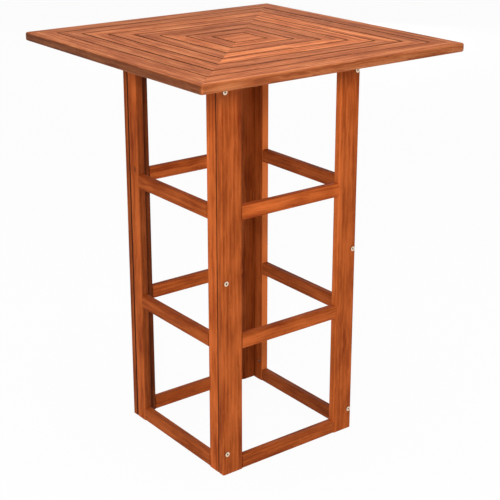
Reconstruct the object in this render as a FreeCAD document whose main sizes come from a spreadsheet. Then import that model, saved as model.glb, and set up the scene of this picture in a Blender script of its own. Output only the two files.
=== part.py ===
"""Slatted bar table.

Four ladder frames, bolted together at the corners, carry a square top of mitred boards.
The front and back frames run along X and lap over the ends of the left and right frames.
Millimetres, origin on the floor under the middle of the table, +X right, +Y back, +Z up.
"""
import FreeCAD, Part
import os
import re

from FreeCAD import Placement, Rotation, Vector

RAILS = ("bottom", "lower", "upper", "top")
SIDES = ("front", "right", "back", "left")
LEFT_RIGHT = {"left": -1, "right": 1}
FRONT_BACK = {"front": -1, "back": 1}
SLANTS = {"rising": 1, "falling": -1}
BOTH_ENDS = (-1, 1)
BOLT_LEVELS = ("bolt_low", "bolt_middle", "bolt_high")
SOCKET_SIDE_COUNT = 6
RING_COUNT = 6
QUARTER_TURN = 90.0
HALF_UNIT = 0.5
UP = Vector(0, 0, 1)
ALONG = {"x": Rotation(Vector(0, 1, 0), QUARTER_TURN),
         "y": Rotation(Vector(1, 0, 0), -QUARTER_TURN),
         "z": Rotation()}

# Name, value or formula, and what it measures.
SIZES = (
    ("table_height", "1086", "floor to the upper face of the top"),
    ("top_side", "800", "side of the square top"),
    ("top_corner_round", "8", "rounding of the top's corners, seen from above"),
    ("top_edge_round", "5", "rounding of the top's outer edge, above and below"),
    ("border_width", "60", "width of the border boards"),
    ("border_thickness", "22", "thickness of the border boards"),
    ("slat_thickness", "12", "thickness of the slats and the centre square"),
    ("slat_gap", "4", "open gap between rings"),
    ("slat_edge_round", "1.5", "easing of the slats' upper edges"),
    ("centre_half", "48", "half side of the centre square"),
    ("base_width", "436", "outside of the frames along X"),
    ("base_depth", "436", "outside of the frames along Y"),
    ("frame_thickness", "22", "thickness of stiles and rails"),
    ("main_stile_width", "62", "width of a front or back stile"),
    ("side_stile_width", "40", "width of a left or right stile"),
    ("rail_height", "36", "height of a rail"),
    ("frame_edge_round", "4", "rounding along stiles and rails"),
    ("tenon_length", "24", "reach of a tenon into its stile"),
    ("tenon_thickness", "8", "thickness of a tenon"),
    ("tenon_height", "24", "height of a tenon"),
    ("wood_clearance", "0.2", "play round tenons, laps and housings"),
    ("mortise_end_gap", "1", "room past the end of a tenon"),
    ("batten_width", "50", "width of the diagonal battens"),
    ("batten_corner_gap", "50", "batten end to the corner of the top"),
    ("bolt_diameter", "6", "shank of a corner bolt"),
    ("bolt_length", "54", "corner bolt under its head"),
    ("bolt_head_diameter", "13", "head of a corner bolt"),
    ("bolt_head_height", "3", "height of that head"),
    ("bolt_head_round", "1", "rounding of the head's rim"),
    ("bolt_socket_width", "5", "socket in the head, across corners"),
    ("bolt_socket_depth", "2", "depth of the socket"),
    ("bolt_foot_inset", "60", "lowest corner bolts from the foot of a stile"),
    ("bolt_head_inset", "52", "highest corner bolts from the head of a stile"),
    ("nut_diameter", "10", "barrel nut"),
    ("nut_length", "16", "barrel nut along its axis"),
    ("nut_slot_width", "1.25", "screwdriver slot in a barrel nut's end"),
    ("nut_slot_depth", "1.25", "depth of that slot"),
    ("nut_setback", "26", "barrel nut from the outer edge of a side stile"),
    ("hole_clearance", "0.2", "play round bolts, nuts and screws, on the radius"),
    ("drill_tip_gap", "0.5", "room past the end of a bolt, nut or screw"),
    ("screw_diameter", "4", "shank of a wood screw"),
    ("screw_head_diameter", "8", "head of a wood screw"),
    ("screw_head_height", "3", "height of a wood screw's head"),
    ("screw_slot_length", "4", "cross slot in a wood screw's head, end to end"),
    ("screw_slot_width", "1", "width of that slot"),
    ("screw_slot_depth", "1.5", "depth of that slot"),
    ("slat_screw_length", "16", "slat screw under its head"),
    ("slat_screw_offset", "18", "slat screw from its mitre, along the slat"),
    ("border_screw_setback", "16", "border screw from the border's inner edge"),
    ("centre_screw_reach", "24", "centre screws from the middle, along X and Y"),
    ("bracket_width", "30", "angle bracket along its bend"),
    ("bracket_thickness", "2.5", "metal of the angle bracket"),
    ("bracket_drop", "45", "leaf against the stile"),
    ("bracket_reach", "30", "leaf under the batten"),
    ("bracket_hole_half", "8", "half the spacing of a leaf's two holes"),
    ("bracket_stile_hole", "37", "stile holes below the batten"),
    ("bracket_batten_hole", "20", "batten holes from the stile"),
    ("bracket_screw_length", "11", "bracket screw under its head"),
    ("base_height", "=table_height - border_thickness", "floor to the underside of the top"),
    ("half_top", "=top_side / 2", ""),
    ("half_width", "=base_width / 2", ""),
    ("half_depth", "=base_depth / 2", ""),
    ("inner_half_width", "=half_width - frame_thickness", "middle to a side frame's inner face"),
    ("inner_half_depth", "=half_depth - frame_thickness", "middle to a main frame's inner face"),
    ("rail_pitch", f"=(base_height - rail_height) / {len(RAILS) - 1}", "rail to rail"),
    ("main_rail_half", "=half_width - main_stile_width", "middle to a main rail's shoulder"),
    ("side_rail_half", "=inner_half_depth - side_stile_width", "middle to a side rail's shoulder"),
    ("mortise_depth", "=tenon_length + mortise_end_gap", ""),
    ("mortise_thickness", "=tenon_thickness + 2 * wood_clearance", ""),
    ("mortise_height", "=tenon_height + 2 * wood_clearance", ""),
    ("ring_start", "=half_top - border_width - slat_gap", "middle to the first ring's outer edge"),
    ("ring_pitch", f"=(ring_start - centre_half) / {RING_COUNT}", "ring to ring"),
    ("slat_width", "=ring_pitch - slat_gap", "width of a ring slat"),
    ("batten_thickness", "=border_thickness - slat_thickness", "battens end flush with the border"),
    ("slope", "=sqrt(0.5)", "share of a length along a diagonal"),
    ("batten_half", "=top_side * slope - batten_corner_gap", "middle to a batten's end"),
    ("slat_level", "=base_height + batten_thickness", "underside of the slats"),
    ("bolt_low", "=bolt_foot_inset", "height of the lowest corner bolts"),
    ("bolt_middle", "=base_height / 2", "height of the middle corner bolts"),
    ("bolt_high", "=base_height - bolt_head_inset", "height of the highest corner bolts"),
    ("bolt_hole_radius", "=bolt_diameter / 2 + hole_clearance", ""),
    ("bolt_hole_depth", "=bolt_length - frame_thickness + drill_tip_gap", "in a side stile's edge"),
    ("bolt_line", "=half_width - frame_thickness / 2", "middle to the bolts, along X"),
    ("nut_line", "=inner_half_depth - nut_setback", "middle to the barrel nuts, along Y"),
    ("nut_hole_radius", "=nut_diameter / 2 + hole_clearance", ""),
    ("nut_hole_depth", "=nut_length + drill_tip_gap", ""),
    ("screw_hole_radius", "=screw_diameter / 2 + hole_clearance", ""),
    ("screw_head_hole_radius", "=screw_head_diameter / 2 + hole_clearance", ""),
    ("slat_hole_depth", "=screw_head_height + slat_screw_length - batten_thickness + drill_tip_gap", ""),
    ("border_screw_line", "=half_top - border_width + border_screw_setback", ""),
    ("bracket_line", "=inner_half_depth - side_stile_width / 2", "middle to a bracket, along Y"),
    ("bracket_batten_line", "=inner_half_width - bracket_batten_hole", ""),
    ("bracket_hole_depth", "=bracket_screw_length - bracket_thickness + drill_tip_gap", ""),
)

doc = FreeCAD.newDocument("bar_table")
sheet = doc.addObject("Spreadsheet::Sheet", "Sizes")
for row, (alias, content, note) in enumerate(SIZES, start=1):
    sheet.set(f"A{row}", note)
    sheet.set(f"B{row}", content)
    sheet.setAlias(f"B{row}", alias)
doc.recompute()
nodes = {}


def size(name):
    """A size of the sheet as a number."""
    return float(sheet.get(name))


def bind(thing, **formulas):
    """Ties properties of a document object to formulas written in the sheet's names."""
    for name, formula in formulas.items():
        linked = re.sub(r"[a-z][a-z_]*", lambda word: "Sizes." + word.group(), formula)
        thing.setExpression(name.replace("__", "."), linked)


def put(thing, x, y, z):
    """Ties the place of a primitive to three formulas."""
    bind(thing, Placement__Base__x=x, Placement__Base__y=y, Placement__Base__z=z)


def box(label, corner, extent, turn=Rotation()):
    """A block given by formulas for its first corner and its lengths along its own X, Y and Z."""
    block = doc.addObject("Part::Box", label)
    block.Placement = Placement(Vector(), turn)
    put(block, *corner)
    bind(block, Length=extent[0], Width=extent[1], Height=extent[2])
    return block


def rod(label, base, axis, radius, length):
    """A cylinder that runs from its base along an axis."""
    cylinder = doc.addObject("Part::Cylinder", label)
    cylinder.Placement = Placement(Vector(), ALONG[axis])
    put(cylinder, *base)
    bind(cylinder, Radius=radius, Height=length)
    return cylinder


def joined(label, pieces):
    """One solid made of overlapping pieces, or one cutter made of several."""
    union = doc.addObject("Part::MultiFuse", label)
    union.Shapes = pieces
    return union


def cut(label, base, cutters):
    """The base with the cutters taken out of it."""
    result = doc.addObject("Part::Cut", label)
    result.Base = base
    result.Tool = cutters[0] if len(cutters) == 1 else joined(label + "_cutters", cutters)
    return result


def node(label, thing):
    """Names a finished piece, which is then written to its own file."""
    thing.Label = label
    nodes[label] = thing


def box_edges(axis):
    """Numbers of the four edges of a block that run along an axis."""
    sample = Part.makeBox(1, 1, 1)
    unit = {"x": Vector(1, 0, 0), "y": Vector(0, 1, 0), "z": UP}[axis]
    return [number for number, edge in enumerate(sample.Edges, start=1)
            if abs(edge.tangentAt(edge.FirstParameter).dot(unit)) > HALF_UNIT]


def wedge_edges():
    """Numbers of the two upper long edges of a mitred slat."""
    sample = Part.makeWedge(0, 0, 0, 0, 1, 4, 1, 1, 1, 3)
    return [number for number, edge in enumerate(sample.Edges, start=1)
            if edge.BoundBox.YLength < HALF_UNIT < edge.BoundBox.XLength
            and edge.BoundBox.ZMin > HALF_UNIT]


def rounded(label, base, edges, radius):
    """The base with a rounding on numbered edges."""
    fillet = doc.addObject("Part::Fillet", label)
    fillet.Base = base
    fillet.Edges = [(number, size(radius), size(radius)) for number in edges]
    return fillet


def outer(sign, reach, width):
    """Formula for the lowest coordinate of a piece whose outer face lies at a reach."""
    return f"{reach} - {width}" if sign > 0 else f"-{reach}"


def inner(sign, reach, depth):
    """Formula for the lowest coordinate of a piece that starts at a reach and runs outwards."""
    return f"{reach}" if sign > 0 else f"-{reach} - {depth}"


def turned(point, quarters):
    """A pair of formulas turned about Z by a number of quarter turns."""
    x, y = point
    for _ in range(quarters):
        x, y = f"-({y})", x
    return x, y


def rail_base(step):
    """Formula for the underside of a rail."""
    return f"{step} * rail_pitch"


def tenon_base(step, play="0"):
    """Formula for the underside of a tenon, or of its mortise where there is play."""
    return f"{step} * rail_pitch + (rail_height - tenon_height) / 2 - {play}"


def main_stile(side, end):
    """Upright of the front or back frame, mortised for rails and drilled for corner bolts."""
    label = f"{side}_frame_{end}_stile"
    back, right = FRONT_BACK[side], LEFT_RIGHT[end]
    face = outer(back, "half_depth", "frame_thickness")
    blank = box(label + "_blank",
                (outer(right, "half_width", "main_stile_width"), face, "0"),
                ("main_stile_width", "frame_thickness", "base_height"))
    eased = rounded(label + "_eased", blank, box_edges("z"), "frame_edge_round")
    cutters = [box(f"{label}_{rail}_mortise",
                   (inner(right, "main_rail_half", "mortise_depth"),
                    f"{back} * (half_depth - frame_thickness / 2) - mortise_thickness / 2",
                    tenon_base(step, "wood_clearance")),
                   ("mortise_depth", "mortise_thickness", "mortise_height"))
               for step, rail in enumerate(RAILS)]
    cutters += [rod(f"{label}_bolt_hole", (f"{right} * bolt_line", face, height), "y",
                    "bolt_hole_radius", "frame_thickness")
                for height in BOLT_LEVELS]
    node(label, cut(label, eased, cutters))


def side_stile(side, end):
    """Upright of the left or right frame, with bolt holes in its edge that meet the nut holes."""
    label = f"{side}_frame_{end}_stile"
    right, back = LEFT_RIGHT[side], FRONT_BACK[end]
    blank = box(label + "_blank",
                (outer(right, "half_width", "frame_thickness"),
                 outer(back, "inner_half_depth", "side_stile_width"), "0"),
                ("frame_thickness", "side_stile_width", "base_height"))
    eased = rounded(label + "_eased", blank, box_edges("z"), "frame_edge_round")
    cutters = [box(f"{label}_{rail}_mortise",
                   (f"{right} * bolt_line - mortise_thickness / 2",
                    inner(back, "side_rail_half", "mortise_depth"),
                    tenon_base(step, "wood_clearance")),
                   ("mortise_thickness", "mortise_depth", "mortise_height"))
               for step, rail in enumerate(RAILS)]
    for height in BOLT_LEVELS:
        cutters.append(rod(f"{label}_bolt_hole",
                           (f"{right} * bolt_line",
                            outer(back, "inner_half_depth", "bolt_hole_depth"), height),
                           "y", "bolt_hole_radius", "bolt_hole_depth"))
        cutters.append(rod(f"{label}_nut_hole",
                           (inner(right, "inner_half_width", "nut_hole_depth"),
                            f"{back} * nut_line", height),
                           "x", "nut_hole_radius", "nut_hole_depth"))
    for shift in BOTH_ENDS:
        cutters.append(rod(f"{label}_bracket_hole",
                           (inner(right, "inner_half_width", "bracket_hole_depth"),
                            f"{back} * (bracket_line + {shift} * bracket_hole_half)",
                            "base_height - bracket_stile_hole"),
                           "x", "screw_hole_radius", "bracket_hole_depth"))
    node(label, cut(label, eased, cutters))


def main_rail(side, step, rail):
    """Rail of the front or back frame with a tenon at each end."""
    label = f"{side}_frame_{rail}_rail"
    back = FRONT_BACK[side]
    blank = box(label + "_blank",
                ("-main_rail_half", outer(back, "half_depth", "frame_thickness"), rail_base(step)),
                ("2 * main_rail_half", "frame_thickness", "rail_height"))
    eased = rounded(label + "_eased", blank, box_edges("x"), "frame_edge_round")
    tenons = box(label + "_tenons",
                 ("-main_rail_half - tenon_length",
                  f"{back} * (half_depth - frame_thickness / 2) - tenon_thickness / 2",
                  tenon_base(step)),
                 ("2 * (main_rail_half + tenon_length)", "tenon_thickness", "tenon_height"))
    node(label, joined(label, [eased, tenons]))


def side_rail(side, step, rail):
    """Rail of the left or right frame with a tenon at each end."""
    label = f"{side}_frame_{rail}_rail"
    right = LEFT_RIGHT[side]
    blank = box(label + "_blank",
                (outer(right, "half_width", "frame_thickness"), "-side_rail_half", rail_base(step)),
                ("frame_thickness", "2 * side_rail_half", "rail_height"))
    eased = rounded(label + "_eased", blank, box_edges("y"), "frame_edge_round")
    tenons = box(label + "_tenons",
                 (f"{right} * bolt_line - tenon_thickness / 2",
                  "-side_rail_half - tenon_length", tenon_base(step)),
                 ("tenon_thickness", "2 * (side_rail_half + tenon_length)", "tenon_height"))
    node(label, joined(label, [eased, tenons]))


def mitred(label, outer_half, inner_half, level, thickness, quarters):
    """A board whose ends are cut at 45 degrees, on one side of a square ring."""
    wedge = doc.addObject("Part::Wedge", label)
    wedge.Placement = Placement(Vector(), Rotation(UP, quarters * QUARTER_TURN))
    put(wedge, "0", "0", level)
    bind(wedge, Xmin=f"-({outer_half})", Xmax=outer_half, X2min=f"-({inner_half})", X2max=inner_half,
         Ymin=f"-({outer_half})", Ymax=f"-({inner_half})",
         Zmin="0", Zmax=thickness, Z2min="0", Z2max=thickness)
    return wedge


def end_holes(label, line, quarters):
    """Blind screw holes from below near both mitres of a board, which meet the batten's holes."""
    holes = []
    for end in BOTH_ENDS:
        x, y = turned((f"{end} * ({line} - slat_screw_offset)", f"-({line})"), quarters)
        holes.append(rod(f"{label}_screw_hole", (x, y, "slat_level"), "z",
                         "screw_hole_radius", "slat_hole_depth"))
    return holes


def ring_line(ring):
    """Formula for the middle of a ring's slats, from the middle of the top."""
    return f"(ring_start - {ring} * ring_pitch - slat_width / 2)"


def slat(ring, quarters):
    """One mitred slat of a ring."""
    label = f"ring_{ring + 1}_{SIDES[quarters]}_slat"
    outer_half = f"ring_start - {ring} * ring_pitch"
    wedge = mitred(label + "_blank", outer_half, f"{outer_half} - slat_width",
                   "slat_level", "slat_thickness", quarters)
    eased = rounded(label + "_eased", wedge, wedge_edges(), "slat_edge_round")
    node(label, cut(label, eased, end_holes(label, ring_line(ring), quarters)))


def centre_square():
    """The square in the middle of the top, on the crossing of the battens."""
    blank = box("centre_blank", ("-centre_half", "-centre_half", "slat_level"),
                ("2 * centre_half", "2 * centre_half", "slat_thickness"))
    upper = [number for number, edge in enumerate(Part.makeBox(1, 1, 1).Edges, start=1)
             if edge.BoundBox.ZMin > HALF_UNIT]
    eased = rounded("centre_eased", blank, upper, "slat_edge_round")
    holes = [rod("centre_screw_hole",
                 (f"{right} * centre_screw_reach", f"{back} * centre_screw_reach", "slat_level"),
                 "z", "screw_hole_radius", "slat_hole_depth")
             for right in BOTH_ENDS for back in BOTH_ENDS]
    node("centre_square", cut("centre_square", eased, holes))


def batten_housing(label, slant):
    """Room for a batten in the underside of the border: it rises to the back right or falls."""
    reach = "(batten_half + wood_clearance)"
    half = "(batten_width / 2 + wood_clearance)"
    return box(label,
               (f"({slant} * {half} - {reach}) * slope", f"-({slant} * {reach} + {half}) * slope",
                "base_height"),
               (f"2 * {reach}", f"2 * {half}", "batten_thickness"),
               Rotation(UP, slant * QUARTER_TURN / 2))


def border_boards():
    """Four mitred boards cut from one square with rounded corners and edges."""
    blank = box("top_blank", ("-half_top", "-half_top", "base_height"),
                ("top_side", "top_side", "border_thickness"))
    cornered = rounded("top_cornered", blank, box_edges("z"), "top_corner_round")
    doc.recompute()
    rim = [number for number, edge in enumerate(cornered.Shape.Edges, start=1)
           if edge.BoundBox.ZLength < size("border_thickness") / 2]
    shaped = rounded("top_shaped", cornered, rim, "top_edge_round")
    housings = [batten_housing(f"{name}_housing", slant) for name, slant in SLANTS.items()]
    for quarters, side in enumerate(SIDES):
        label = f"{side}_border_board"
        wedge = mitred(label + "_mitres", "half_top", "half_top - border_width",
                       "base_height", "border_thickness", quarters)
        board = doc.addObject("Part::Common", label + "_blank")
        board.Base = shaped
        board.Tool = wedge
        holes = end_holes(label, "border_screw_line", quarters)
        node(label, cut(label, board, housings + holes))


def batten_screw_places():
    """Formulas for the slat and border screws in a batten, along it and across it."""
    lines = [ring_line(ring) for ring in range(RING_COUNT)] + ["border_screw_line"]
    places = [(f"{end} * (2 * {line} - slat_screw_offset) * slope", f"{edge} * slat_screw_offset * slope")
              for line in lines for end in BOTH_ENDS for edge in BOTH_ENDS]
    return places + [(f"{end} * 2 * centre_screw_reach * slope", "0") for end in BOTH_ENDS]


def batten(label, angle, lap_level, mirror):
    """Diagonal batten, half lapped at the crossing and drilled for slat and bracket screws."""
    blank = box(label + "_blank", ("-batten_half", "-batten_width / 2", "base_height"),
                ("2 * batten_half", "batten_width", "batten_thickness"))
    lap = box(label + "_lap", ("-batten_width / 2 - wood_clearance", "-batten_width / 2", lap_level),
              ("batten_width + 2 * wood_clearance", "batten_width", "batten_thickness / 2"))
    cutters = [lap]
    for along, across in batten_screw_places():
        cutters.append(rod(label + "_screw_hole", (along, across, "base_height"), "z",
                           "screw_hole_radius", "batten_thickness"))
        cutters.append(rod(label + "_head_hole", (along, across, "base_height"), "z",
                           "screw_head_hole_radius", "screw_head_height"))
    for end in BOTH_ENDS:
        for shift in BOTH_ENDS:
            y = f"(bracket_line + {shift} * bracket_hole_half)"
            cutters.append(rod(label + "_bracket_hole",
                               (f"{end} * ({y} + bracket_batten_line) * slope",
                                f"{mirror * end} * ({y} - bracket_batten_line) * slope", "base_height"),
                               "z", "screw_hole_radius", "bracket_hole_depth"))
    piece = cut(label, blank, cutters)
    piece.Placement = Placement(Vector(), Rotation(UP, angle))
    node(label, piece)


def angle_bracket():
    """Bent steel bracket at the right back corner of the frames."""
    along = "bracket_line - bracket_width / 2"
    drop = box("bracket_stile_leaf",
               ("inner_half_width - bracket_thickness", along, "base_height - bracket_drop"),
               ("bracket_thickness", "bracket_width", "bracket_drop"))
    reach = box("bracket_batten_leaf",
                ("inner_half_width - bracket_reach", along, "base_height - bracket_thickness"),
                ("bracket_reach", "bracket_width", "bracket_thickness"))
    holes = []
    for shift in BOTH_ENDS:
        y = f"bracket_line + {shift} * bracket_hole_half"
        holes.append(rod("bracket_stile_hole",
                         ("inner_half_width - bracket_thickness", y, "base_height - bracket_stile_hole"),
                         "x", "screw_hole_radius", "bracket_thickness"))
        holes.append(rod("bracket_batten_hole",
                         ("bracket_batten_line", y, "base_height - bracket_thickness"),
                         "z", "screw_hole_radius", "bracket_thickness"))
    return cut("bracket_pattern", joined("bracket_leaves", [drop, reach]), holes)


def headed(label, diameter, length, head_diameter, head_height):
    """Fastener along +Z: the head lies below the origin and the shank above it."""
    head = rod(label + "_head", ("0", "0", f"-{head_height}"), "z", f"{head_diameter} / 2", head_height)
    shank = rod(label + "_shank", ("0", "0", "0"), "z", f"{diameter} / 2", length)
    return head, shank


def corner_bolt():
    """Connector bolt with a rounded rim and a hexagon socket."""
    head, shank = headed("bolt", "bolt_diameter", "bolt_length", "bolt_head_diameter", "bolt_head_height")
    sample = Part.makeCylinder(1, 1)
    rim = [number for number, edge in enumerate(sample.Edges, start=1) if edge.BoundBox.ZMax < HALF_UNIT]
    eased = rounded("bolt_head_eased", head, rim, "bolt_head_round")
    socket = doc.addObject("Part::Prism", "bolt_socket")
    socket.Polygon = SOCKET_SIDE_COUNT
    put(socket, "0", "0", "-bolt_head_height")
    bind(socket, Circumradius="bolt_socket_width / 2", Height="bolt_socket_depth")
    return cut("bolt_pattern", joined("bolt_blank", [eased, shank]), [socket])


def screw(label, length):
    """Wood screw with a pan head and a cross slot."""
    head, shank = headed(label, "screw_diameter", length, "screw_head_diameter", "screw_head_height")
    slots = [box(f"{label}_slot",
                 (f"-{along} / 2", f"-{across} / 2", "-screw_head_height"),
                 (along, across, "screw_slot_depth"))
             for along, across in (("screw_slot_length", "screw_slot_width"),
                                   ("screw_slot_width", "screw_slot_length"))]
    return cut(label + "_pattern", joined(label + "_blank", [head, shank]), slots)


def barrel_nut():
    """Barrel nut along X with a cross hole for its bolt and a slot in the end that shows."""
    barrel = rod("nut_blank", ("0", "0", "0"), "x", "nut_diameter / 2", "nut_length")
    hole = rod("nut_bolt_hole", ("frame_thickness / 2", "-nut_diameter", "0"), "y",
               "bolt_hole_radius", "2 * nut_diameter")
    slot = box("nut_slot", ("0", "-nut_diameter / 2", "-nut_slot_width / 2"),
               ("nut_slot_depth", "nut_diameter", "nut_slot_width"))
    return cut("nut_pattern", barrel, [hole, slot])


def group(label, pattern, places):
    """Identical pieces that share one node, as separate solids."""
    solids = []
    for place in places:
        copy = pattern.Shape.copy()
        copy.Placement = place
        solids.append(copy)
    pieces = doc.addObject("Part::Feature", label)
    pieces.Shape = Part.makeCompound(solids)
    node(label, pieces)


def corners():
    """Signs of the four corners along X and Y."""
    return [(right, back) for right in BOTH_ENDS for back in BOTH_ENDS]


def place_corner_fasteners():
    """Bolts from the outer faces of the main stiles, and the barrel nuts that they screw into."""
    bolts = []
    nuts = []
    for right, back in corners():
        for level in map(size, BOLT_LEVELS):
            bolts.append(Placement(Vector(right * size("bolt_line"), back * size("half_depth"), level),
                                   Rotation(UP, Vector(0, -back, 0))))
            nuts.append(Placement(Vector(right * size("inner_half_width"), back * size("nut_line"), level),
                                  Rotation(UP, 0 if right > 0 else 2 * QUARTER_TURN)))
    return bolts, nuts


def place_slat_screws():
    """Screws that come up through the battens into the border, the slats and the centre square."""
    level = size("base_height") + size("screw_head_height")
    lines = [size("ring_start") - ring * size("ring_pitch") - size("slat_width") / 2
             for ring in range(RING_COUNT)] + [size("border_screw_line")]
    places = []
    for right, back in corners():
        for line in lines:
            short = line - size("slat_screw_offset")
            places.append(Placement(Vector(right * short, back * line, level), Rotation()))
            places.append(Placement(Vector(right * line, back * short, level), Rotation()))
        reach = size("centre_screw_reach")
        places.append(Placement(Vector(right * reach, back * reach, level), Rotation()))
    return places


def place_brackets():
    """Angle brackets in the four corners under the top, and the screws in their leaves."""
    brackets = []
    screws = []
    for right, back in corners():
        turn = Rotation(UP, 0 if right > 0 else 2 * QUARTER_TURN)
        shift = 0 if right == back else 2 * back * size("bracket_line")
        brackets.append(Placement(Vector(0, shift, 0), turn))
        for side in BOTH_ENDS:
            y = back * (size("bracket_line") + side * size("bracket_hole_half"))
            face = right * (size("inner_half_width") - size("bracket_thickness"))
            screws.append(Placement(Vector(face, y, size("base_height") - size("bracket_stile_hole")),
                                    Rotation(UP, Vector(right, 0, 0))))
            screws.append(Placement(Vector(right * size("bracket_batten_line"), y,
                                           size("base_height") - size("bracket_thickness")), Rotation()))
    return brackets, screws


def build():
    """Makes every piece of the table in the document."""
    for side in FRONT_BACK:
        for end in LEFT_RIGHT:
            main_stile(side, end)
        for step, rail in enumerate(RAILS):
            main_rail(side, step, rail)
    for side in LEFT_RIGHT:
        for end in FRONT_BACK:
            side_stile(side, end)
        for step, rail in enumerate(RAILS):
            side_rail(side, step, rail)
    border_boards()
    for ring in range(RING_COUNT):
        for quarters in range(len(SIDES)):
            slat(ring, quarters)
    centre_square()
    batten("rising_diagonal_batten", QUARTER_TURN / 2, "base_height + batten_thickness / 2", 1)
    batten("falling_diagonal_batten", 3 * QUARTER_TURN / 2, "base_height", -1)
    patterns = corner_bolt(), barrel_nut(), angle_bracket()
    slat_screw = screw("slat_screw", "slat_screw_length")
    bracket_screw = screw("bracket_screw", "bracket_screw_length")
    doc.recompute()
    bolts, nuts = place_corner_fasteners()
    brackets, screws = place_brackets()
    group("corner_bolts", patterns[0], bolts)
    group("barrel_nuts", patterns[1], nuts)
    group("angle_brackets", patterns[2], brackets)
    group("slat_screws", slat_screw, place_slat_screws())
    group("bracket_screws", bracket_screw, screws)
    doc.recompute()


def check():
    """Stops if an object failed or a piece is empty or not valid."""
    for thing in doc.Objects:
        if {"Invalid", "Error"} & set(thing.State):
            raise RuntimeError(f"{thing.Label} failed: {thing.State}")
    for label, thing in nodes.items():
        if thing.Shape.isNull() or not thing.Shape.isValid() or not thing.Shape.Solids:
            raise RuntimeError(f"{label} has no valid shape")


def write():
    """Writes each piece to its own file."""
    os.makedirs("parts", exist_ok=True)
    for label, thing in nodes.items():
        thing.Shape.exportStep(f"parts/{label}.step")
    print(f"{len(nodes)} pieces written")


build()
check()
write()
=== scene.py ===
"""Slatted bar table in oiled hardwood: finishes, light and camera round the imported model.

Metres, origin on the floor under the middle of the table, +X right, +Y back, +Z up.
"""
import logging
import math
from dataclasses import dataclass, field
from enum import Enum
from typing import Any, Dict, Iterator, List, Optional, Tuple, Union

import bpy
import numpy as np
from mathutils import Euler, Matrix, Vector


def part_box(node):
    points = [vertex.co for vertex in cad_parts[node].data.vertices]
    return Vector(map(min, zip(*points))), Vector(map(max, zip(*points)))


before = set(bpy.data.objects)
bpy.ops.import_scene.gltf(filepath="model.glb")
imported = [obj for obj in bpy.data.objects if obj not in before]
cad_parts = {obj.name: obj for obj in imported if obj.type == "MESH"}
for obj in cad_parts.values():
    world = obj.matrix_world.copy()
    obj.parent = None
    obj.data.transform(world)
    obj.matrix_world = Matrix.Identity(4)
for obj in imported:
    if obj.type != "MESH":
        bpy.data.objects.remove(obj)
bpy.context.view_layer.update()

LOG = logging.getLogger("bar_table")
MM = 0.001
PHOTO_SIDE = 500
SENSOR_MM = 36.0
GRAIN_SEED = 20
LAMP_TARGET = (0.0, 0.0, 0.6)
RIGHT_ANGLE = 90.0

# The sRGB curve: a straight foot below the knee, a power above it.
SRGB_FULL = 255.0
SRGB_KNEE = 0.04045
SRGB_FOOT = 12.92
SRGB_LIFT = 0.055
SRGB_POWER = 2.4

# Where a board lies in its tree: metres along the trunk, millimetres from the heart.
TRUNK_LENGTH = 40.0
HEART_REACH_MM = (45.0, 110.0)
# A wave texture of scale one turns this many radians in a metre.
WAVE_RATE = 20.0
# Middle of a pattern, and the band that holds most of a noise pattern.
MIDDLE = 0.5
NOISE_BAND = (0.3, 0.7)
STREAK_ROUGHNESS = 0.55
BLOTCH_DETAIL, RIBBON_DETAIL, FIBRE_DETAIL, PORE_DETAIL, MARK_DETAIL = 2.0, 2.0, 3.0, 1.0, 3.0
# Noise above the first value starts to open into a pore, and is fully open at the second.
PORE_BAND = (0.58, 0.72)
PORE_SHARE = 0.3
PORE_TONE = -0.55
# Shades between which the deep colour turns to the heart colour, and the heart colour to the pale.
DEEP_BAND = (0.18, 0.52)
PALE_BAND = (0.48, 0.85)
# Raised fibres and sunken pores in the relief of the timber, and the strength of both reliefs.
FIBRE_RELIEF, PORE_RELIEF = 0.6, -0.8
WOOD_BUMP, STEEL_BUMP = 0.5, 0.2
MARK_RELIEF_MM = 0.05
OIL_IOR = 1.5

# A knot is longer along the grain; the grain parts within some radii and its core is dark.
KNOT_LENGTH_SHARE = 0.55
KNOT_REACH, KNOT_PULL = 3.5, -0.75
KNOT_CORE = (0.35, 1.15)
KNOT_DARKNESS = 2.2
# Share of painted shade in the joints, where the arris of one board meets the next.
JOINT_SHADE = 0.95
HALF_ROOT = math.sqrt(0.5)
# How squarely a surface must face a direction before its tint starts, and before it is full.
EDGE_REACH = (0.3, 0.85)
ARRIS_REACH = (0.75, 0.9)
SAWN_REACH = (0.75, 0.95)
SAWN_SHARE = 0.45

RAILS = ("bottom", "lower", "upper", "top")
RING_COUNT = 6

Colour = Tuple[float, float, float, float]
Triple = Tuple[float, float, float]


def linear(code: str) -> Colour:
    """Turns an sRGB hex colour into linear light.

    Args:
        code: Six hex digits after a hash sign.
    Returns:
        Red, green and blue in linear light, with full alpha.
    """
    channels = np.array([int(code[i:i + 2], 16) for i in (1, 3, 5)]) / SRGB_FULL
    curve = ((channels + SRGB_LIFT) / (1 + SRGB_LIFT)) ** SRGB_POWER
    light = np.where(channels <= SRGB_KNEE, channels / SRGB_FOOT, curve)
    return (float(light[0]), float(light[1]), float(light[2]), 1.0)


def add(tree: bpy.types.NodeTree, kind: str, inputs: Optional[Dict[Any, Any]] = None,
        **settings: Any) -> bpy.types.Node:
    """Adds a node to a tree, with its settings, socket values and links.

    Args:
        tree: The node tree.
        kind: The node's type name.
        inputs: A value, or an output socket to link, for each input named or numbered.
        settings: Properties of the node.
    Returns:
        The new node.
    """
    node = tree.nodes.new(kind)
    for name, value in settings.items():
        setattr(node, name, value)
    for key, value in (inputs or {}).items():
        if isinstance(value, bpy.types.NodeSocket):
            tree.links.new(value, node.inputs[key])
        else:
            node.inputs[key].default_value = value
    return node


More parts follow.
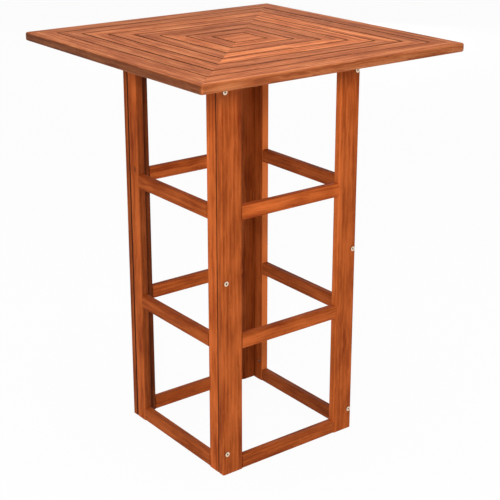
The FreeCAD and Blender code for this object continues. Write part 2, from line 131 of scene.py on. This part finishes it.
class Grain(Enum):
    """The way a board's grain runs, as the turn that brings it to the X axis."""

    ALONG_X = (0.0, 0.0, 0.0)
    ALONG_Y = (0.0, 0.0, -math.pi / 2)
    ALONG_Z = (0.0, math.pi / 2, 0.0)
    RISING = (0.0, 0.0, -math.pi / 4)
    FALLING = (0.0, 0.0, math.pi / 4)


class Facing(Enum):
    """Directions that the edge of a board can face."""

    FRONT = (0.0, -1.0, 0.0)
    RIGHT = (1.0, 0.0, 0.0)
    BACK = (0.0, 1.0, 0.0)
    LEFT = (-1.0, 0.0, 0.0)

    def opposite(self) -> "Facing":
        """The direction that faces the other way."""
        return Facing(tuple(0.0 - value for value in self.value))


class Arris(Enum):
    """Directions that the long corner of an upright board can face."""

    FRONT_LEFT = (-HALF_ROOT, -HALF_ROOT, 0.0)
    FRONT_RIGHT = (HALF_ROOT, -HALF_ROOT, 0.0)
    BACK_LEFT = (-HALF_ROOT, HALF_ROOT, 0.0)
    BACK_RIGHT = (HALF_ROOT, HALF_ROOT, 0.0)


Edge = Tuple[Union[Facing, Arris], float]


@dataclass(frozen=True)
class Knot:
    """A small knot: the root of a twig that grew towards one face of the board."""

    place: Triple
    facing: Facing
    radius_mm: float

    def shares(self, grain: Grain) -> Triple:
        """How fast the knot fades along the turned axes: not at all along the twig.

        Args:
            grain: The grain of the board that holds the knot.
        Returns:
            Knot radii per metre along the grain and across it.
        """
        twig = Euler(grain.value).to_matrix() @ Vector(self.facing.value)
        length = 1.0 / (self.radius_mm * MM)
        across = (length * (1 - abs(twig.y)), length * (1 - abs(twig.z)))
        return (KNOT_LENGTH_SHARE * length, *across)


@dataclass
class Board:
    """One length of timber, with its own place in the tree that it was cut from."""

    node: str
    grain: Grain
    # Share of lightening, negative to darken: the board's own tone, and on some boards painted
    # shade.
    tone: float = 0.0
    # Edges darkened, each with its share: most by painted shade in joints, gaps and shaded inner
    # faces, the rim of the top by a stain.
    stain_and_shade_edges: Tuple[Edge, ...] = ()
    # Edges with painted light, where a lamp reaches them through an opening, each with its share of
    # it.
    painted_light_edges: Tuple[Edge, ...] = ()
    knots: Tuple[Knot, ...] = ()

    def offset(self, draw: np.random.Generator) -> Vector:
        """Moves the turned pattern so that the tree's heart lies beside the board.

        Args:
            draw: The seeded source of the board's own place.
        Returns:
            The shift for a Mapping node, in metres.
        """
        low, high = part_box(self.node)
        middle = Euler(self.grain.value).to_matrix() @ ((low + high) / 2)
        along = draw.uniform(0.0, TRUNK_LENGTH)
        reach = draw.uniform(*HEART_REACH_MM) * MM
        angle = draw.uniform(0.0, 2 * math.pi)
        return Vector((along, reach * math.cos(angle), reach * math.sin(angle))) - middle


@dataclass(frozen=True)
class OiledHardwood:
    """Planed and oiled eucalyptus: reddish brown, straight grained, with fine open pores.

    The oil gives a satin gloss, uneven because the soft grain drinks more of it. Colour runs in
    long ribbons and thin fibre streaks along the grain, and the sawn ends are darker.
    """

    name: str
    deep: str
    heart: str
    pale: str
    # Colour of the painted shade in joints, gaps and inner faces, and of the stain on the top's
    # rim.
    stain_and_shade_colour: str = "#2e150a"
    # Colour of the painted light on lit edges.
    painted_light_colour: str = "#e0793c"
    gloss: Tuple[float, float] = (0.36, 0.54)
    oil_film: float = 0.14
    ring_mm: float = 9.0
    ribbon_mm: Triple = (320.0, 12.0, 12.0)
    # A fibre is a tenth of this wide; it is drawn this coarse so that it shows in the render.
    fibre_mm: Triple = (170.0, 1.8, 1.8)
    # Pores are 0.2 mm wide; they are drawn wider so that they show in the render.
    pore_mm: Triple = (12.0, 0.9, 0.9)
    blotch_mm: Triple = (120.0, 40.0, 40.0)
    # Weights of the growth rings, ribbons, fibres and blotches in the colour.
    figure: Tuple[float, float, float, float] = (0.12, 0.80, 0.60, 0.80)
    sway_mm: float = 14.0
    relief_mm: float = 0.18

    def tinted(self, code: str, tone: float) -> Colour:
        """Lightens or darkens a colour for one board.

        Args:
            code: The sRGB colour.
            tone: Share of lightening, negative to darken.
        Returns:
            The colour in linear light.
        """
        red, green, blue, alpha = linear(code)
        return (red * (1 + tone), green * (1 + tone), blue * (1 + tone), alpha)

    def material(self, board: Board, draw: np.random.Generator) -> bpy.types.Material:
        """Makes the timber of one board.

        Args:
            board: The board that the grain runs along.
            draw: The seeded source of the board's own figure.
        Returns:
            A material on Object coordinates.
        """
        material = bpy.data.materials.new(f"{self.name}.{board.node}")
        material.use_nodes = True
        tree = material.node_tree
        tree.nodes.clear()
        place = add(tree, "ShaderNodeTexCoord")
        offset = board.offset(draw)
        turned = add(tree, "ShaderNodeMapping",
                     {"Vector": place.outputs["Object"], "Rotation": board.grain.value,
                      "Location": offset}, vector_type="POINT")
        blotch = self.streaks(tree, turned.outputs[0], self.blotch_mm, BLOTCH_DETAIL)
        sway = add(tree, "ShaderNodeVectorMath",
                   {0: blotch.outputs["Color"], 1: (0.0, self.sway_mm * MM, self.sway_mm * MM)},
                   operation="MULTIPLY")
        bent = add(tree, "ShaderNodeVectorMath",
                   {0: turned.outputs[0], 1: sway.outputs[0]}, operation="ADD").outputs[0]
        cores = []
        for knot in board.knots:
            bent, core = self.flow_round(tree, turned.outputs[0], bent, knot, board.grain, offset)
            cores.append(core)
        rings = add(tree, "ShaderNodeTexWave",
                    {"Vector": bent, "Scale": 2 * math.pi / (WAVE_RATE * self.ring_mm * MM)},
                    wave_type="RINGS", rings_direction="X", wave_profile="SIN")
        ribbon = self.streaks(tree, bent, self.ribbon_mm, RIBBON_DETAIL)
        fibre = self.streaks(tree, bent, self.fibre_mm, FIBRE_DETAIL)
        pore = self.streaks(tree, bent, self.pore_mm, PORE_DETAIL)
        pores = add(tree, "ShaderNodeMapRange",
                    {"Value": pore.outputs[0], "From Min": PORE_BAND[0], "From Max": PORE_BAND[1]})
        sockets = (rings.outputs["Fac"], ribbon.outputs[0], fibre.outputs[0], blotch.outputs[0])
        shade = self.weighted(tree, tuple(zip(sockets, self.figure)))
        dark = pores.outputs[0]
        for core in cores:
            dark = add(tree, "ShaderNodeMath", {0: core, 1: KNOT_DARKNESS, 2: dark},
                       operation="MULTIPLY_ADD").outputs[0]
        colour = self.colour(tree, shade, dark, place.outputs["Normal"], board)
        rough = add(tree, "ShaderNodeMapRange",
                    {"Value": fibre.outputs[0], "From Min": NOISE_BAND[0],
                     "From Max": NOISE_BAND[1], "To Min": self.gloss[0], "To Max": self.gloss[1]})
        height = self.weighted(tree, ((fibre.outputs[0], FIBRE_RELIEF),
                                      (pores.outputs[0], PORE_RELIEF)))
        bump = add(tree, "ShaderNodeBump",
                   {"Height": height, "Strength": WOOD_BUMP, "Distance": self.relief_mm * MM})
        surface = add(tree, "ShaderNodeBsdfPrincipled",
                      {"Base Color": colour, "Roughness": rough.outputs[0],
                       "Normal": bump.outputs[0], "Specular IOR Level": 0.0,
                       "Coat Weight": self.oil_film, "Coat Roughness": sum(self.gloss) / 2,
                       "Coat IOR": OIL_IOR, "Coat Normal": bump.outputs[0]})
        add(tree, "ShaderNodeOutputMaterial", {"Surface": surface.outputs[0]})
        return material

    def flow_round(self, tree: bpy.types.NodeTree, place: bpy.types.NodeSocket,
                   bent: bpy.types.NodeSocket, knot: Knot, grain: Grain, offset: Vector
                   ) -> Tuple[bpy.types.NodeSocket, bpy.types.NodeSocket]:
        """Parts the grain round a knot: the pattern is squeezed towards the knot's middle.

        Args:
            tree: The node tree.
            place: The turned coordinates, in metres.
            bent: The coordinates that the grain follows so far.
            knot: The knot.
            grain: The grain of its board.
            offset: The board's shift of the turned coordinates.
        Returns:
            The coordinates parted round the knot, and a socket that is one in its core.
        """
        middle = Euler(grain.value).to_matrix() @ Vector(knot.place) + offset
        away = add(tree, "ShaderNodeVectorMath", {0: place, 1: middle}, operation="SUBTRACT")
        reach = add(tree, "ShaderNodeVectorMath", {0: away.outputs[0], 1: knot.shares(grain)},
                    operation="MULTIPLY")
        distance = add(tree, "ShaderNodeVectorMath", {0: reach.outputs[0]}, operation="LENGTH")
        pull = add(tree, "ShaderNodeMapRange",
                   {"Value": distance.outputs["Value"], "From Max": KNOT_REACH,
                    "To Min": KNOT_PULL, "To Max": 0.0}, interpolation_type="SMOOTHSTEP")
        squeeze = add(tree, "ShaderNodeVectorMath",
                      {0: away.outputs[0], "Scale": pull.outputs[0]}, operation="SCALE")
        parted = add(tree, "ShaderNodeVectorMath", {0: bent, 1: squeeze.outputs[0]},
                     operation="ADD")
        core = add(tree, "ShaderNodeMapRange",
                   {"Value": distance.outputs["Value"], "From Min": KNOT_CORE[0],
                    "From Max": KNOT_CORE[1], "To Min": 1.0, "To Max": 0.0},
                   interpolation_type="SMOOTHSTEP")
        return parted.outputs[0], core.outputs[0]

    def streaks(self, tree: bpy.types.NodeTree, place: bpy.types.NodeSocket, size: Triple,
                detail: float) -> bpy.types.Node:
        """Noise whose grains have a size in millimetres along and across the timber.

        Args:
            tree: The node tree.
            place: The turned coordinates, in metres.
            size: Length of a grain along X, Y and Z.
            detail: Octaves of finer noise.
        Returns:
            The noise node.
        """
        share = tuple(1.0 / (length * MM) for length in size)
        scaled = add(tree, "ShaderNodeVectorMath", {0: place, 1: share}, operation="MULTIPLY")
        return add(tree, "ShaderNodeTexNoise",
                   {"Vector": scaled.outputs[0], "Scale": 1.0, "Detail": detail,
                    "Roughness": STREAK_ROUGHNESS})

    def weighted(self, tree: bpy.types.NodeTree,
                 parts: Tuple[Tuple[bpy.types.NodeSocket, float], ...]) -> bpy.types.NodeSocket:
        """Sum of patterns about a middle of one half, each with a weight.

        Args:
            tree: The node tree.
            parts: Pairs of a pattern's socket and its weight.
        Returns:
            The socket of the sum.
        """
        total: Any = MIDDLE - MIDDLE * sum(weight for _, weight in parts)
        for socket, weight in parts:
            total = add(tree, "ShaderNodeMath", {0: socket, 1: weight, 2: total},
                        operation="MULTIPLY_ADD").outputs[0]
        return total

    def colour(self, tree: bpy.types.NodeTree, shade: bpy.types.NodeSocket,
               pores: bpy.types.NodeSocket, normal: bpy.types.NodeSocket,
               board: Board) -> bpy.types.NodeSocket:
        """Colour of the timber: deep to pale along the streaks, darker pores and sawn ends, then
        painted shade (stain on the top's rim) and painted light on edges.

        Args:
            tree: The node tree.
            shade: Zero for the darkest streaks, one for the lightest.
            pores: One in an open pore.
            normal: The surface normal, which tells a sawn end from a face.
            board: The board, for its tone and grain.
        Returns:
            The colour's socket.
        """
        low = add(tree, "ShaderNodeMapRange",
                  {"Value": shade, "From Min": DEEP_BAND[0], "From Max": DEEP_BAND[1]})
        high = add(tree, "ShaderNodeMapRange",
                   {"Value": shade, "From Min": PALE_BAND[0], "From Max": PALE_BAND[1]})
        warm = add(tree, "ShaderNodeMix",
                   {0: low.outputs[0], 6: self.tinted(self.deep, board.tone),
                    7: self.tinted(self.heart, board.tone)}, data_type="RGBA")
        full = add(tree, "ShaderNodeMix",
                   {0: high.outputs[0], 6: warm.outputs[2], 7: self.tinted(self.pale, board.tone)},
                   data_type="RGBA")
        turned = add(tree, "ShaderNodeVectorRotate",
                     {"Vector": normal, "Rotation": board.grain.value}, rotation_type="EULER_XYZ")
        split = add(tree, "ShaderNodeSeparateXYZ", {0: turned.outputs[0]})
        endwise = add(tree, "ShaderNodeMath", {0: split.outputs["X"]}, operation="ABSOLUTE")
        sawn = add(tree, "ShaderNodeMapRange",
                   {"Value": endwise.outputs[0], "From Min": SAWN_REACH[0],
                    "From Max": SAWN_REACH[1], "To Max": SAWN_SHARE})
        dark = add(tree, "ShaderNodeMath", {0: pores, 1: PORE_SHARE, 2: sawn.outputs[0]},
                   operation="MULTIPLY_ADD", use_clamp=True)
        colour = add(tree, "ShaderNodeMix",
                     {0: dark.outputs[0], 6: full.outputs[2], 7: self.tinted(self.deep, PORE_TONE)},
                     data_type="RGBA")
        # Darkened edges: painted shade, and stain on the top's rim. Lit edges: painted light where
        # a lamp reaches.
        edges = [(facing, share, linear(self.stain_and_shade_colour)) for facing, share in board.stain_and_shade_edges]
        edges += [(facing, share, linear(self.painted_light_colour)) for facing, share in board.painted_light_edges]
        for facing, share, tint in edges:
            towards = add(tree, "ShaderNodeVectorMath", {0: normal, 1: facing.value},
                          operation="DOT_PRODUCT")
            reach = ARRIS_REACH if isinstance(facing, Arris) else EDGE_REACH
            amount = add(tree, "ShaderNodeMapRange",
                         {"Value": towards.outputs["Value"], "From Min": reach[0],
                          "From Max": reach[1], "To Max": share})
            colour = add(tree, "ShaderNodeMix",
                         {0: amount.outputs[0], 6: colour.outputs[2], 7: tint}, data_type="RGBA")
        return colour.outputs[2]


@dataclass(frozen=True)
class PlatedSteel:
    """Steel with a bright plating: cool metal whose gloss is broken by fine handling marks."""

    name: str
    bright: str
    dull: str
    gloss: Tuple[float, float]
    mark_mm: float
    # Distances from the middle of the table, along Y, between which painted shade in the sockets of
    # the bolt heads gives way to bare metal.
    socket_shade: Optional[Tuple[float, float]] = None
    # Colour of the painted shade in the sockets.
    socket_shade_colour: str = "#2a1a10"

    def material(self) -> bpy.types.Material:
        """Makes the plating, mottled at the size of its marks, with painted shade in the bolt
        sockets where set.
        """
        material = bpy.data.materials.new(self.name)
        material.use_nodes = True
        tree = material.node_tree
        tree.nodes.clear()
        place = add(tree, "ShaderNodeTexCoord")
        marks = add(tree, "ShaderNodeTexNoise",
                    {"Vector": place.outputs["Object"], "Scale": 1.0 / (self.mark_mm * MM),
                     "Detail": MARK_DETAIL})
        colour = add(tree, "ShaderNodeMix",
                     {0: marks.outputs[0], 6: linear(self.dull), 7: linear(self.bright)},
                     data_type="RGBA")
        # Painted shade: darkens the floors of the sockets in the bolt heads.
        if self.socket_shade:
            along = add(tree, "ShaderNodeSeparateXYZ", {0: place.outputs["Object"]})
            depth = add(tree, "ShaderNodeMath", {0: along.outputs["Y"]}, operation="ABSOLUTE")
            outside_socket = add(tree, "ShaderNodeMapRange",
                        {"Value": depth.outputs[0], "From Min": self.socket_shade[0],
                         "From Max": self.socket_shade[1]})
            colour = add(tree, "ShaderNodeMix",
                         {0: outside_socket.outputs[0], 6: linear(self.socket_shade_colour), 7: colour.outputs[2]},
                         data_type="RGBA")
        rough = add(tree, "ShaderNodeMapRange",
                    {"Value": marks.outputs[0], "From Min": NOISE_BAND[0],
                     "From Max": NOISE_BAND[1], "To Min": self.gloss[0], "To Max": self.gloss[1]})
        bump = add(tree, "ShaderNodeBump",
                   {"Height": marks.outputs[0], "Strength": STEEL_BUMP,
                    "Distance": MARK_RELIEF_MM * MM})
        surface = add(tree, "ShaderNodeBsdfPrincipled",
                      {"Base Color": colour.outputs[2], "Metallic": 1.0,
                       "Roughness": rough.outputs[0], "Normal": bump.outputs[0]})
        add(tree, "ShaderNodeOutputMaterial", {"Surface": surface.outputs[0]})
        return material


FRAME_WOOD = OiledHardwood("oiled_eucalyptus_frame", deep="#7c310e", heart="#a65020",
                           pale="#c4642f")
TOP_WOOD = OiledHardwood("oiled_eucalyptus_top", deep="#944820", heart="#bd6433", pale="#e08a55",
                         gloss=(0.34, 0.5), oil_film=0.26, ribbon_mm=(280.0, 14.0, 14.0),
                         figure=(0.15, 1.20, 1.30, 0.70))
BATTEN_WOOD = OiledHardwood("oiled_eucalyptus_batten", deep="#7a3516", heart="#a05028",
                            pale="#b96a3e", gloss=(0.45, 0.62))
BOLT_STEEL = PlatedSteel("nickel_plated_steel", bright="#fae2c9", dull="#cfb399",
                         gloss=(0.2, 0.34), mark_mm=2.0, socket_shade=(0.2192, 0.2204))
ZINC_STEEL = PlatedSteel("zinc_plated_steel", bright="#c3c7c9", dull="#969b9e",
                         gloss=(0.32, 0.5), mark_mm=4.0)


def coat(node: str, material: bpy.types.Material) -> None:
    """Gives every material slot of a CAD node one material.

    Args:
        node: The node's name.
        material: The new material.
    """
    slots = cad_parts[node].material_slots
    if not slots:
        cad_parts[node].data.materials.append(material)
    for slot in slots:
        slot.material = material
    LOG.info("%s: %s", node, material.name)


@dataclass
class LadderFrame:
    """Two stiles with four rails between them, standing on one side of the table."""

    side: str
    ends: Tuple[str, str]
    rail_grain: Grain
    finish: OiledHardwood = FRAME_WOOD
    tones: Dict[str, float] = field(default_factory=dict)
    stain_and_shade_edges: Dict[str, Tuple[Edge, ...]] = field(default_factory=dict)
    painted_light_edges: Dict[str, Tuple[Edge, ...]] = field(default_factory=dict)
    knots: Dict[str, Tuple[Knot, ...]] = field(default_factory=dict)

    def boards(self) -> Iterator[Board]:
        """Lists the stiles and rails with the way their grain runs."""
        for end in self.ends:
            yield self.board(f"{end}_stile", Grain.ALONG_Z)
        for rail in RAILS:
            yield self.board(f"{rail}_rail", self.rail_grain)

    def board(self, name: str, grain: Grain) -> Board:
        """Names a board of this frame and looks up its tone, edges and knots."""
        return Board(f"{self.side}_frame_{name}", grain, self.tones.get(name, 0.0),
                     self.stain_and_shade_edges.get(name, ()), self.painted_light_edges.get(name, ()),
                     self.knots.get(name, ()))

    def dress(self, draw: np.random.Generator) -> None:
        """Gives each board its own timber."""
        for board in self.boards():
            coat(board.node, self.finish.material(board, draw))


@dataclass
class SlattedTop:
    """Mitred border, six rings of slats and a centre square, on two diagonal battens."""

    finish: OiledHardwood = TOP_WOOD
    batten_finish: OiledHardwood = BATTEN_WOOD
    tones: Dict[str, float] = field(default_factory=dict)
    spread: float = 0.13
    # Share of painted shade on the sides of the slats, in the gaps between them.
    painted_gap_shade: float = 0.97
    rim_stain: Dict[str, float] = field(default_factory=dict)

    def boards(self, draw: np.random.Generator) -> Iterator[Board]:
        """Lists the boards of the upper face with their grain, tone, painted shade in the gaps and
        stain on the rim.

        Args:
            draw: The seeded source of the tones that nothing else sets.
        Returns:
            The boards in turn.
        """
        for facing, grain in zip(Facing, (Grain.ALONG_X, Grain.ALONG_Y) * 2):
            side = facing.name.lower()
            inner = (facing.opposite(), self.painted_gap_shade)
            rim = (facing, self.rim_stain.get(side, 0.0))
            yield self.board(f"{side}_border_board", grain, (inner, rim), draw)
            for ring in range(1, RING_COUNT + 1):
                gaps = (inner, (facing, self.painted_gap_shade))
                yield self.board(f"ring_{ring}_{side}_slat", grain, gaps, draw)
        gaps = tuple((facing, self.painted_gap_shade) for facing in Facing)
        yield self.board("centre_square", Grain.ALONG_X, gaps, draw)

    def board(self, name: str, grain: Grain, edges: Tuple[Edge, ...],
              draw: np.random.Generator) -> Board:
        """Names a board of the top and looks up or draws its tone.

        Args:
            name: The board's node.
            grain: The way its grain runs.
            edges: Its darkened edges: painted shade in the gaps, stain on the rim.
            draw: The seeded source of a tone that nothing else sets.
        Returns:
            The board.
        """
        tone = draw.uniform(-self.spread, self.spread)
        return Board(name, grain, self.tones.get(name, tone), edges)

    def dress(self, draw: np.random.Generator) -> None:
        """Gives each board its own timber."""
        for board in self.boards(draw):
            coat(board.node, self.finish.material(board, draw))
        for board in (Board("rising_diagonal_batten", Grain.RISING),
                      Board("falling_diagonal_batten", Grain.FALLING)):
            coat(board.node, self.batten_finish.material(board, draw))


@dataclass
class Ironmongery:
    """Bolts, barrel nuts, brackets and screws."""

    bolt_finish: PlatedSteel = BOLT_STEEL
    zinc_finish: PlatedSteel = ZINC_STEEL

    def dress(self) -> None:
        """Plates the fasteners."""
        coat("corner_bolts", self.bolt_finish.material())
        zinc = self.zinc_finish.material()
        for node in ("barrel_nuts", "angle_brackets", "slat_screws", "bracket_screws"):
            coat(node, zinc)


@dataclass
class SoftLamp:
    """A square studio lamp behind a diffuser."""

    name: str
    place: Triple
    side: float
    watts: float
    # A polarised lamp lights the table and shows no reflection of itself.
    polarised: bool = False

    def build(self, target: Vector) -> None:
        """Hangs the lamp and points it at the table.

        Args:
            target: What the lamp faces.
        """
        light = bpy.data.lights.new(self.name, "AREA")
        light.shape = "SQUARE"
        light.size = self.side
        light.energy = self.watts
        lamp = bpy.data.objects.new(self.name, light)
        lamp.visible_glossy = not self.polarised
        lamp.location = self.place
        lamp.rotation_euler = (target - lamp.location).to_track_quat("-Z", "Y").to_euler()
        bpy.context.scene.collection.objects.link(lamp)


@dataclass
class Studio:
    """Pale floor, soft lamps, white surroundings and the camera."""

    floor_half: float = 30.0
    floor_colour: str = "#f4f3f1"
    white_share: float = 0.95
    sky_strength: float = 0.42
    camera_place: Triple = (-1.836, -2.464, 1.650)
    camera_yaw: float = -37.18
    camera_pitch: float = -18.48
    focal_pixels: float = 1216.9
    shift_up: float = -0.08
    lamps: Tuple[SoftLamp, ...] = (
        SoftLamp("key_lamp", (-2.35, -2.7, 2.1), 0.5, 100.0, polarised=True),
        SoftLamp("front_lamp", (0.6, -3.4, 1.5), 1.8, 5.0),
        SoftLamp("left_lamp", (-3.2, -0.8, 1.5), 1.8, 8.0),
        SoftLamp("overhead_lamp", (0.0, 0.0, 3.5), 2.0, 29.0),
        SoftLamp("back_lamp", (4.3, 5.0, 0.65), 1.2, 80.0),
    )

    def build(self) -> None:
        """Sets up everything round the table."""
        bpy.context.scene.view_settings.view_transform = "Standard"
        self.lay_floor()
        self.light_world()
        for lamp in self.lamps:
            lamp.build(Vector(LAMP_TARGET))
        self.aim_camera()

    def seen(self, tree: bpy.types.NodeTree) -> bpy.types.NodeSocket:
        """One for rays that show the background to the camera, straight or in a reflection."""
        path = add(tree, "ShaderNodeLightPath")
        glossy = add(tree, "ShaderNodeMath",
                     {0: path.outputs["Is Camera Ray"], 1: path.outputs["Is Glossy Ray"]},
                     operation="MAXIMUM")
        return add(tree, "ShaderNodeMath",
                   {0: glossy.outputs[0], 1: path.outputs["Is Transmission Ray"]},
                   operation="MAXIMUM").outputs[0]

    def lay_floor(self) -> None:
        """Lays a flat square floor: its corners are the four signs times half its side."""
        signs = np.array([(-1, -1), (1, -1), (1, 1), (-1, 1)], float)
        corners = np.column_stack((signs * self.floor_half, np.zeros(len(signs))))
        mesh = bpy.data.meshes.new("floor")
        mesh.from_pydata(corners.tolist(), [], [range(len(corners))])
        floor = bpy.data.objects.new("floor", mesh)
        bpy.context.scene.collection.objects.link(floor)
        material = bpy.data.materials.new("matt_white_floor")
        material.use_nodes = True
        tree = material.node_tree
        tree.nodes.clear()
        matt = add(tree, "ShaderNodeBsdfDiffuse", {"Color": linear(self.floor_colour)})
        white = add(tree, "ShaderNodeEmission", {"Strength": 1.0})
        share = add(tree, "ShaderNodeMath", {0: self.seen(tree), 1: self.white_share},
                    operation="MULTIPLY")
        both = add(tree, "ShaderNodeMixShader", {0: share.outputs[0], 1: matt.outputs[0],
                                                 2: white.outputs[0]})
        add(tree, "ShaderNodeOutputMaterial", {"Surface": both.outputs[0]})
        mesh.materials.append(material)

    def light_world(self) -> None:
        """Surrounds the table with even light, and with white where the background shows."""
        world = bpy.data.worlds.new("white_studio")
        world.use_nodes = True
        tree = world.node_tree
        tree.nodes.clear()
        strength = add(tree, "ShaderNodeMapRange",
                       {"Value": self.seen(tree), "To Min": self.sky_strength, "To Max": 1.0})
        sky = add(tree, "ShaderNodeBackground", {"Color": (1.0, 1.0, 1.0, 1.0),
                                                 "Strength": strength.outputs[0]})
        add(tree, "ShaderNodeOutputWorld", {"Surface": sky.outputs[0]})
        bpy.context.scene.world = world

    def aim_camera(self) -> None:
        """Stands the camera at the photograph's viewing angle, without roll."""
        lens = bpy.data.cameras.new("camera")
        lens.sensor_width = SENSOR_MM
        lens.lens = self.focal_pixels / PHOTO_SIDE * SENSOR_MM
        lens.shift_y = self.shift_up
        camera = bpy.data.objects.new("camera", lens)
        camera.location = self.camera_place
        camera.rotation_euler = (math.radians(RIGHT_ANGLE + self.camera_pitch), 0.0,
                                 math.radians(self.camera_yaw))
        bpy.context.scene.collection.objects.link(camera)
        bpy.context.scene.camera = camera


def main() -> None:
    """Dresses the table piece by piece and sets up the studio."""
    logging.basicConfig(level=logging.INFO, format="%(name)s %(message)s")
    draw = np.random.default_rng(GRAIN_SEED)
    frames: List[LadderFrame] = [
        # Front frame: painted shade in the joints at the stiles' back arrises, and painted light on
        # the right stile's inner edge.
        LadderFrame("front", ("left", "right"), Grain.ALONG_X,
                    tones={"upper_rail": 0.2, "bottom_rail": -0.1, "left_stile": -0.1},
                    stain_and_shade_edges={"left_stile": ((Arris.BACK_LEFT, JOINT_SHADE),),
                                "right_stile": ((Arris.BACK_RIGHT, JOINT_SHADE),)},
                    painted_light_edges={"right_stile": ((Facing.LEFT, 0.2),)}),
        # Back frame: the stiles' dark tones are partly their own timber and partly painted shade of
        # the inside of the base; the left stile's front face takes more painted shade, and the
        # joints painted shade.
        LadderFrame("back", ("left", "right"), Grain.ALONG_X,
                    tones={"left_stile": -0.25, "right_stile": -0.15},
                    stain_and_shade_edges={"left_stile": ((Arris.FRONT_LEFT, JOINT_SHADE),
                                               (Facing.FRONT, 0.55)),
                                "right_stile": ((Arris.FRONT_RIGHT, JOINT_SHADE),)}),
        # Left frame: painted shade in the joints at the stiles' front and back edges; the back
        # stile's front edge is darker as well.
        LadderFrame("left", ("front", "back"), Grain.ALONG_Y,
                    tones={"front_stile": 0.15, "back_stile": 0.05, "upper_rail": -0.1,
                           "lower_rail": -0.1, "bottom_rail": -0.15},
                    stain_and_shade_edges={"front_stile": ((Facing.FRONT, JOINT_SHADE),),
                                "back_stile": ((Facing.FRONT, 0.5), (Facing.BACK, JOINT_SHADE))},
                    knots={"back_stile": (Knot((-0.218, 0.172, 0.735), Facing.LEFT, 6.0),)}),
        # Right frame: the dark tones of the rails and back stile are painted shade of the inside of
        # the base; painted shade in the joints, and painted light on the back stile's front edge.
        LadderFrame("right", ("front", "back"), Grain.ALONG_Y,
                    tones={"upper_rail": -0.25, "lower_rail": -0.25, "bottom_rail": -0.35,
                           "back_stile": -0.15},
                    stain_and_shade_edges={"front_stile": ((Facing.FRONT, JOINT_SHADE),),
                                "back_stile": ((Facing.BACK, JOINT_SHADE),)},
                    painted_light_edges={"back_stile": ((Facing.FRONT, 0.75),)}),
    ]
    for ladder in frames:
        ladder.dress(draw)
    pale = {"ring_3_front_slat": 0.3, "ring_4_front_slat": 0.3, "ring_6_front_slat": 0.2,
            "ring_2_right_slat": 0.2, "ring_3_right_slat": 0.2}
    dull = {"left_border_board": -0.1, "right_border_board": -0.15, "back_border_board": -0.2,
            "ring_5_back_slat": -0.15, "ring_1_left_slat": -0.15, "ring_1_right_slat": -0.15,
            "ring_1_back_slat": -0.15}
    SlattedTop(tones={**pale, **dull}, rim_stain={"left": 0.7, "front": 0.4}).dress(draw)
    Ironmongery().dress()
    Studio().build()


if __name__ == "__main__":
    main()
